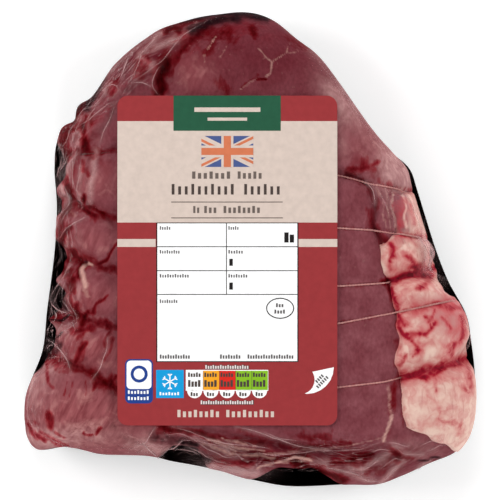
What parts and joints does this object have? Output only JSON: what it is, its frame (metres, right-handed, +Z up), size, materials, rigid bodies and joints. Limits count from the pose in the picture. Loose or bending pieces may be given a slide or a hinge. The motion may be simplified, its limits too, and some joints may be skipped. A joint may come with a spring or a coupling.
{
  "type": "vacuum-packed raw beef roasting joint",
  "caption": "Raw beef roasting joint tied with twine, with a slab of basting fat, vacuum-sealed between clear top film and black base film, under a printed paper label.",
  "frame": {"origin": "on the floor under the middle of the pack's box", "axes": "+Z up out of the label, +Y towards the joint's narrow end, +X towards the slab of basting fat"},
  "size_m": [0.2077, 0.2173, 0.0607],
  "materials": {
    "beef_under_film": "raw beef seen through clinging clear film",
    "beef_fat": "pale basting fat with red veins, under film",
    "clear_film": "clear glossy shrink film",
    "black_film": "black formed film, satin",
    "twine": "twisted cotton butcher's twine, wet",
    "label_paper": "printed satin paper in fields of colour"
  },
  "bodies": {
    "root": {"sealed_joint": "beef_under_film", "black_backing": "black_film", "label": "label_paper"}
  },
  "joints": []
}
